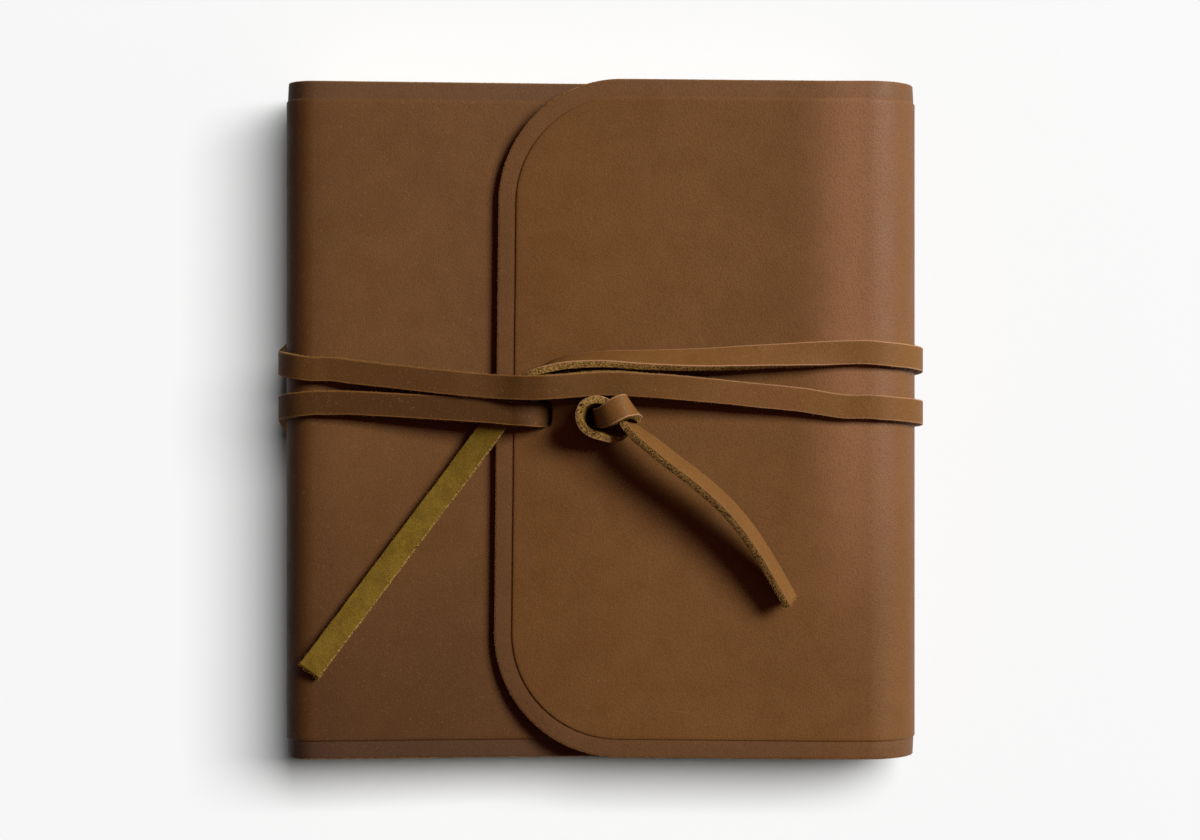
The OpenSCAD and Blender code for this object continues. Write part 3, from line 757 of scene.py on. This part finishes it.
UPPER_RUN = [
    on_flap(58.4, 5.9, 2.5, -360, 90), on_flap(43.7, 7.4, 3.6, -360, 90), on_flap(28.9, 8.9, 4.8, -361, 90),
    on_flap(14.1, 10.1, 6, -365, 90), on_flap(-0.6, 10.8, 6.7, -372, 90), on_flap(-11, 10, 8.5, -368, 90),
    on_flap(-16.5, 9.6, 9.3, -364, 90), on_flap(-22.5, 9.4, 8.5, -361, 90),
    on_flap(-30.2, 9.7, 6.5, -360, 90), taut(-45, 11, -30.2, 36.9, -360),
    taut(-60, 12.6, -30.2, 36.9, -360), taut(-74, 14.2, -30.2, 36.9, -360)]

TWISTED_RUN = [
    on_flap(58.4, 19.1, 2.3, -703, 90), on_flap(43.7, 18.4, 3, -691, 90),
    on_flap(28.9, 17.7, 3.5, -680, 90), on_flap(14.1, 17.6, 3.85, -668, 90),
    on_flap(-0.6, 17.8, 4.05, -655, 90), on_flap(-6.8, 17.4, 4.05, -650, 92),
    on_flap(-11.6, 16.7, 4, -645, 96), on_flap(-15.8, 15.3, 3.95, -635, 104),
    on_flap(-19.2, 12.9, 3.85, -608, 117), on_flap(-22.2, 9.9, 3, -570, 130),
    on_flap(-25.4, 6.4, 1.7, -543, 138), on_flap(-29.2, 2, 1.5, -540, 143),
    on_flap(-31.2, -0.6, 1.5, -540, 143)]

SLOPE_LIE = -540 + FRONT_SLOPE
TAIL_END = [
    on_front(-36, -6.9, 2.9, -540, 143), on_front(-44, -17.6, 1.5, SLOPE_LIE),
    on_front(-52, -28.2, LIE, SLOPE_LIE), on_front(-64, -44.2, LIE, SLOPE_LIE),
    on_front(-76, -60.2, LIE, SLOPE_LIE), on_front(-86.2, -73.9, LIE + 0.2, SLOPE_LIE)]

FIRST_TURN = once_round(5, 3.2, -3, 0, 3.9, 0)
ROUTE = np.array(
    TAIL_RUN
    + [on_flap(KNOT_AT + x, *rest) for x, *rest in KNOT_TURNS]
    + SLIT_RISE
    + FIRST_TURN
    + UPPER_RUN
    + once_round(15, 17.2, 21, 15.6, 19.9, 1)
    + TWISTED_RUN
    + TAIL_END, float)


def smooth_route(step_mm):
    """The smooth curve through the stations, as in the part's source, with rings step_mm apart."""
    spans = np.maximum(np.linalg.norm(np.diff(ROUTE[:, :3], axis=0), axis=1), 0.01)
    steps = np.diff(ROUTE, axis=0) / spans[:, None]
    before, after = spans[:-1, None], spans[1:, None]
    pace = np.vstack([steps[:1], (steps[:-1] * after + steps[1:] * before) / (before + after), steps[-1:]])
    rings, numbers = [], []
    for i, span in enumerate(spans):
        count = max(2, round(span / step_mm))
        for t in np.arange(count) / count:
            rings.append((2 * t ** 3 - 3 * t ** 2 + 1) * ROUTE[i] + (t ** 3 - 2 * t ** 2 + t) * span * pace[i]
                         + (3 * t ** 2 - 2 * t ** 3) * ROUTE[i + 1]
                         + (t ** 3 - t ** 2) * span * pace[i + 1])
            numbers.append(i + t)
    return np.array(rings + [ROUTE[-1]]), np.array(numbers + [len(ROUTE) - 1.0])


def unit(vectors):
    return vectors / np.linalg.norm(vectors, axis=-1, keepdims=True)


# Half widths of the flat grain and flesh sides, as shares of the strap's
GRAIN_W = 0.86
FLESH_W = 0.88


def strap_section():
    """The strap's section as shares of its half width and half thickness, anticlockwise."""
    corner_w, corner_t = 0.06, 0.2
    points = []
    for quarter, (sx, sz) in enumerate([(1, 1), (-1, 1), (-1, -1), (1, -1)]):
        for a in np.radians(np.linspace(90 * quarter, 90 * quarter + 90, 4)):
            points.append((sx * (1 - corner_w) + corner_w * math.cos(a),
                           sz * (1 - corner_t) + corner_t * math.sin(a)))
        if quarter == 0:
            points += [(GRAIN_W, 1), (-GRAIN_W, 1)]
        if quarter == 2:
            points.append((FLESH_W, -1))
    return points


# Numbers of the stations where the strap's tone changes
SLIT_STATION = len(TAIL_RUN) + len(KNOT_TURNS)
LOWEST_END = SLIT_STATION + len(SLIT_RISE) + 8
UPPER_STATION = SLIT_STATION + len(SLIT_RISE) + len(FIRST_TURN)


def strap_painted_shade(rings, numbers):
    """The two runs below the crossing, in painted shade: darker the more towards the spine, and the run over
    the front cover darker still.
    """
    lowest, middle, upper = (soft_step(start, start + 1, numbers)
                             for start in (SLIT_STATION - 0.5, LOWEST_END, UPPER_STATION + 20))
    at_left = 1 - soft_step(-36, 66, rings[:, 0])
    return 0.5 - middle * (1 - upper) * (0.06 + 0.2 * at_left) - lowest * (1 - middle) * 0.32


def closure_strap():
    """The strap: a rounded section swept along its route."""
    rings, numbers = smooth_route(0.8)
    ahead = np.vstack([rings[1:, :3], rings[-1:, :3]])
    behind = np.vstack([rings[:1, :3], rings[:-1, :3]])
    along = unit(ahead - behind)
    tilt, facing = np.radians(rings[:, 3]), np.radians(rings[:, 4])
    lean = np.column_stack([np.sin(tilt) * np.cos(facing), np.sin(tilt) * np.sin(facing), np.cos(tilt)])
    grain = unit(lean - (lean * along).sum(1)[:, None] * along)
    side = np.cross(along, grain)
    section = strap_section()
    size = len(section)
    travelled = np.concatenate([[0], np.cumsum(np.linalg.norm(np.diff(rings[:, :3], axis=0), axis=1))])
    vertices = []
    for i, ring in enumerate(rings):
        for u, v in section:
            waver = EDGE_WAVER * noise.noise((travelled[i] * 0.22, math.copysign(3.1, u), 0.5))
            across = u * (STRAP_W / 2 - STRAP_INSET + waver) * ring[5]
            up = v * (STRAP_T / 2 - STRAP_INSET)
            vertices.append(ring[:3] + side[i] * across + grain[i] * up)
    faces, slots = [], []
    for i in range(len(rings) - 1):
        for k in range(size):
            a, b = i * size + k, i * size + (k + 1) % size
            faces.append([a, a + size, b + size, b])
            u, v = np.mean([section[k], section[(k + 1) % size]], axis=0)
            slots.append(GRAIN_SLOT if v > 0.82 else FLESH_SLOT if v < -0.9 and u < FLESH_W else CUT_SLOT)
    last = (len(rings) - 1) * size
    faces.append(list(range(size)))
    faces.append([last + k for k in reversed(range(size))])
    slots += [CUT_SLOT, CUT_SLOT]
    piece = new_object("closure_strap_skin", vertices, faces, [
        waxed_grain_leather("strap_grain_side", "#a87d5c", "#6e4b25", "#66431f", "#301a06", 0.4, 0.09),
        flesh_side_leather("strap_flesh_side", "#745b1b", "#664f15", "#2f230a"),
        cut_edge_leather("strap_cut_edge", "#a37e41", "#614622", "#1e120a")], slots)

    # The rims of its grain side are lighter, partly rubbed wear and partly a painted highlight, less so on
    # the loose end, and both ends are frayed
    rim = [RIM_WEAR_AND_HIGHLIGHT if abs(u) > 0.9 and v > 0.75 else 0 for u, v in section]
    painted_highlight = 0.2 + 0.8 * soft_step(len(TAIL_RUN), len(TAIL_RUN) + 3, numbers)
    tone = np.repeat(strap_painted_shade(rings, numbers), size) + np.outer(painted_highlight, rim).ravel()
    paint(piece, "patina", np.clip(tone, 0, 1))
    to_end = np.minimum(travelled, travelled[-1] - travelled)
    paint(piece, "fray", np.repeat(1 + 2.5 * (1 - soft_step(0.2, 2, to_end)), size))
    return piece


# The pages: leaves folded into sections, which the spine holds

PAGE_X = page_low[0]
PAGE_END = page_high[0]
PAGE_Z = page_low[2]
PAGE_H = page_high[1] - page_low[1]
LEAVES = SECTIONS * LEAVES_A_SECTION
ROUND_W = SPINE_R - LEATHER_T
PAGE_TOP_GAP = front_at(PAGE_X + ROUND_W) + BASE_Z - page_high[2]
LEAF_COLUMNS = 16
LEAF_ROWS = 9
LEAF_MARKS = ("rise", "layer", "at_spine", "at_edge")


def one_leaf():
    """The lowest leaf. Each of its points carries its rise to the top of the block and where it is."""
    places = np.concatenate([[PAGE_X], np.linspace(PAGE_X + ROUND_W, PAGE_END, LEAF_COLUMNS)])
    rows = np.linspace(-PAGE_H / 2, PAGE_H / 2, LEAF_ROWS)
    wide, deep = len(rows), len(places)
    vertices, marks, faces = [], [], []
    for layer in (0, 1):
        for x in places:
            top = front_at(max(x, PAGE_X + ROUND_W)) + BASE_Z - PAGE_TOP_GAP
            for y in rows:
                vertices.append((x, y, PAGE_Z))
                marks.append(((top - PAGE_Z) * MM, layer, x == PAGE_X, x == PAGE_END))
    above = wide * deep
    for i in range(deep - 1):
        for k in range(wide - 1):
            a = i * wide + k
            faces.append([a, a + 1, a + wide + 1, a + wide])
            faces.append([above + a, above + a + wide, above + a + wide + 1, above + a + 1])
    rim = list(range(wide))
    rim += [i * wide + wide - 1 for i in range(1, deep)]
    rim += [(deep - 1) * wide + k for k in range(wide - 2, -1, -1)]
    rim += [i * wide for i in range(deep - 2, 0, -1)]
    for a, b in zip(rim, rim[1:] + rim[:1]):
        faces.append([a, above + a, above + b, b])
    piece = new_object("page_leaves", vertices, faces, [], smooth=False)
    for name, values in zip(LEAF_MARKS, np.array(marks, float).T):
        paint(piece, name, values)
    return piece


# How a leaf is stacked and folded: each line names a number, and how it comes from the ones above it
STACK_SUMS = (
    ("thick", "MULTIPLY_ADD", "layer", 0.82, "number"),
    ("share", "DIVIDE", "thick", "Leaves"),
    ("middle", "ADD", "number", 0.5),
    ("sections", "DIVIDE", "middle", "Leaves a section"),
    ("section", "FLOOR", "sections"),
    ("in_section", "FRACT", "sections"),
    ("from_fold", "MULTIPLY_ADD", "in_section", 2.0, -1.0),
    ("from_fold", "ABSOLUTE", "from_fold"),
    ("fold", "POWER", "from_fold", 2.4),
    ("fold", "MULTIPLY", "fold", "Fold depth"),
    ("outer", "MULTIPLY_ADD", "share", 2.0, -1.0),
    ("outer", "ABSOLUTE", "outer"),
    ("outer", "POWER", "outer", 6.0),
    ("outer", "MINIMUM", "outer", 0.98),
    ("circle", "SUBTRACT", 1.0, "outer"),
    ("circle", "SQRT", "circle"),
    ("round_in", "SUBTRACT", 1.0, "circle"),
    ("inward", "MULTIPLY_ADD", "round_in", "Spine round", "fold"),
    ("inward", "MULTIPLY", "inward", "at_spine"),
    ("drift", "MULTIPLY", "number", 0.05))

# How far a leaf is trimmed, shortened and rippled, from the random numbers of the leaf and its section
TRIM_SUMS = (
    ("half_fold", "MULTIPLY", "fold", 0.5),
    ("trimmed", "MULTIPLY_ADD", "uneven", "Waviness", "half_fold"),
    ("trimmed", "MULTIPLY", "trimmed", "at_edge"),
    ("shift_x", "SUBTRACT", "inward", "trimmed"),
    ("shorter", "MULTIPLY", "uneven", -0.002),
    ("shorter", "MULTIPLY_ADD", "section_uneven", -0.006, "shorter"),
    ("shift_y", "MULTIPLY", "reach", "shorter"),
    ("ripple", "SUBTRACT", "wave", 0.5),
    ("ripple_h", "MULTIPLY", "Waviness", 0.12),
    ("ripple", "MULTIPLY", "ripple", "ripple_h"),
    ("shift_z", "MULTIPLY_ADD", "share", "rise", "ripple"))


def page_leaves(material):
    """One leaf, repeated up the block, folded at the spine and trimmed at the fore-edge."""
    sizes = {"Leaves": LEAVES, "Leaves a section": LEAVES_A_SECTION, "Fold depth": FOLD_DEPTH * MM,
             "Spine round": ROUND_W * MM, "Waviness": WAVINESS * MM}
    tree, given = start_tree("leaves", sizes)
    count = add(tree, "FunctionNodeFloatToInt", (given["Leaves"],))
    stack = add(tree, "GeometryNodeMeshLine", {"Count": count, "Offset": (0, 0, 0)})
    index = add(tree, "GeometryNodeInputIndex")
    numbered = add(tree, "GeometryNodeStoreNamedAttribute", {
        "Geometry": stack, "Name": "number", "Value": index}, data_type="FLOAT")
    copies = add(tree, "GeometryNodeInstanceOnPoints", {"Points": numbered, "Instance": given["Geometry"]})
    real = add(tree, "GeometryNodeRealizeInstances", (copies,))

    known = {name: given[name] for name in sizes}
    for name in LEAF_MARKS + ("number",):
        known[name] = add(tree, "GeometryNodeInputNamedAttribute", {"Name": name}, data_type="FLOAT")

    def work_out(sums):
        for name, operation, *terms in sums:
            known[name] = add(tree, MATHS, [known.get(term, term) for term in terms], operation=operation)

    work_out(STACK_SUMS)
    place = add(tree, "GeometryNodeInputPosition")
    known["reach"] = add(tree, "ShaderNodeSeparateXYZ", (place,), 1)
    known["wave"] = add(tree, NOISE, {
        "Vector": place, "W": known["drift"], "Scale": 22.0, "Detail": 1.0}, noise_dimensions="4D")
    for name, source in (("uneven", "number"), ("section_uneven", "section")):
        known[name] = add(tree, "ShaderNodeTexWhiteNoise", {"W": known[source]}, "Value",
                          noise_dimensions="1D")
    work_out(TRIM_SUMS)
    shift = add(tree, "ShaderNodeCombineXYZ", [known[name] for name in ("shift_x", "shift_y", "shift_z")])
    moved = add(tree, "GeometryNodeSetPosition", {"Geometry": real, "Offset": shift})
    finish_tree(tree, moved, material)
    return bake(one_leaf(), tree, sizes)


def endband_thread(name, node, material):
    """Silk wound closely round a band's core, from end to end."""
    low, high = (np.array(corner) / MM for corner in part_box(node))
    middle = (low + high) / 2
    height = high[2] - low[2] - BAND_D
    sizes = {"Height": height * MM, "Core radius": (BAND_D / 2 - 0.15) * MM,
             "Thread radius": THREAD_D / 2 * MM, "Turns": height / THREAD_PITCH}
    tree, given = start_tree("thread_of_" + node, sizes)
    radius = given["Core radius"]
    coil = add(tree, "GeometryNodeCurveSpiral", {
        "Rotations": given["Turns"], "Start Radius": radius, "End Radius": radius, "Height": given["Height"],
        "Resolution": 14})
    ring = add(tree, "GeometryNodeCurvePrimitiveCircle", {"Radius": given["Thread radius"], "Resolution": 7})
    wound = add(tree, "GeometryNodeCurveToMesh", {"Curve": coil, "Profile Curve": ring, "Fill Caps": True})
    smooth = add(tree, "GeometryNodeSetShadeSmooth", (wound,))
    foot = (middle - [0, 0, height / 2]) * MM
    lifted = add(tree, "GeometryNodeTransform", {"Geometry": smooth, "Translation": foot})
    finish_tree(tree, lifted, material)
    return bake(new_object(name, [middle], [], []), tree, sizes)


# The stage: a white table, its lamp, the book's own two lamps and the camera looking straight down

TOP_PLANE = BASE_Z + COVER_T
CAMERA_X = -0.65
CAMERA_RISE = 710
FRAME_W = 353.5
SENSOR_W = 36


def camera():
    data = bpy.data.cameras.new("camera")
    data.sensor_width = SENSOR_W
    data.lens = SENSOR_W * CAMERA_RISE / FRAME_W
    data.clip_start = 0.01
    data.clip_end = 50
    viewer = bpy.data.objects.new("camera", data)
    viewer.location = (CAMERA_X * MM, 0, (CAMERA_RISE + TOP_PLANE) * MM)
    bpy.context.scene.collection.objects.link(viewer)
    bpy.context.scene.camera = viewer


# Three softboxes, level with the table: a low one lights the book, a weak warm one above fills its shadows,
# and a high, wide one lights the table. Each has its rise in metres, its power, its slopes, which are metres
# aside for each metre up, and its tint.
BOOK_LAMP = ("book_softbox", 4.0, 1420, ((0.7, 1.9), (0.33, 1.0)), "#ffffff")
BOOK_FILL = ("book_fill", 2.0, 7.0, ((-1.0, 1.0), (-1.0, 1.0)), "#ff6a58")
TABLE_LAMP = ("table_softbox", 24.0, 22200, ((0.08, 1.2), (0.12, 0.66)), "#ffffff")


def softbox(name, rise, power, slopes, tint, lit):
    """A rectangular lamp that lights only the things in its own collection."""
    (x0, x1), (y0, y1) = slopes
    data = bpy.data.lights.new(name, "AREA")
    data.shape = "RECTANGLE"
    data.size = (x1 - x0) * rise
    data.size_y = (y1 - y0) * rise
    data.energy = power
    data.color = colour(tint)[:3]
    box = bpy.data.objects.new(name, data)
    box.location = ((x0 + x1) / 2 * rise, (y0 + y1) / 2 * rise, rise)
    bpy.context.scene.collection.objects.link(box)
    box.light_linking.receiver_collection = bpy.data.collections.new("lit_by_" + name)
    for thing in lit:
        box.light_linking.receiver_collection.objects.link(thing)


def white_table():
    material, tree = start_material("white_table")
    shader = add(tree, "ShaderNodeBsdfDiffuse", {"Color": colour("#c4c4c4")})
    add(tree, "ShaderNodeOutputMaterial", {"Surface": shader})
    reach = 6000
    corners = [(-reach, -reach, 0), (reach, -reach, 0), (reach, reach, 0), (-reach, reach, 0)]
    floor = new_object("table", corners, [(0, 1, 2, 3)], [material], smooth=False)
    return floor


def surroundings():
    world = bpy.data.worlds.new("studio")
    bpy.context.scene.world = world
    world.use_nodes = True
    tree = world.node_tree
    tree.nodes.clear()
    seen = add(tree, "ShaderNodeLightPath", output="Is Camera Ray")
    dim, white = (add(tree, "ShaderNodeBackground", {"Color": colour("#ffffff"), "Strength": strength})
                  for strength in (0.04, 0.96))
    both = add(tree, "ShaderNodeMixShader", (seen, dim, white))
    add(tree, "ShaderNodeOutputWorld", {"Surface": both})


bpy.context.scene.view_settings.view_transform = "Standard"
camera()

strap = closure_strap()
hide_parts("closure_strap")
cover, cover_flat = leather_cover()
patina, pressed = cover_tone_and_painted_light(cover_flat)
paint(cover, "patina", patina)
paint(cover, "pressed", pressed)
paint(cover, "fray", np.ones(len(cover_flat)))
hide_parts("leather_cover")
leaves = page_leaves(book_paper("page_paper", "#e9dfc4", "#dccfae", "#b8a880"))
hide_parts("page_block")
fibre = hide_fibre("hide_fibre", "#ad864c", "#7a582c")
silk = band_silk("endband_silk", "#8a3b2a", "#d8c59a")
pieces = [
    (strap, "strap_leather"), (cover, "cover_leather"), (leaves, "page_paper"),
    (edge_fibres("strap_fibres", strap, fibre, 2.1, 0.6), "strap_leather"),
    (edge_fibres("cover_fibres", cover, fibre, 0.8, 0.35), "cover_leather"),
    (endband_thread("head_band_silk", "head_band", silk), "band_thread"),
    (endband_thread("tail_band_silk", "tail_band", silk), "band_thread")]
for piece, slot in pieces:
    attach(piece, "root")

endpaper = book_paper("endpaper", "#d9c9a2", "#c9b78e", "#c9b78e")
finishes = {"front_endpaper": endpaper, "back_endpaper": endpaper, "head_band": silk, "tail_band": silk,
            "spine_lining": glued_muslin("lining_muslin", "#d3c8ac", "#a99a78")}
for name, material in finishes.items():
    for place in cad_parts[name].material_slots:
        place.material = material

book = [thing for thing in bpy.data.objects if thing.type == "MESH"]
softbox(*BOOK_LAMP, book)
softbox(*BOOK_FILL, book)
softbox(*TABLE_LAMP, [white_table()])
surroundings()
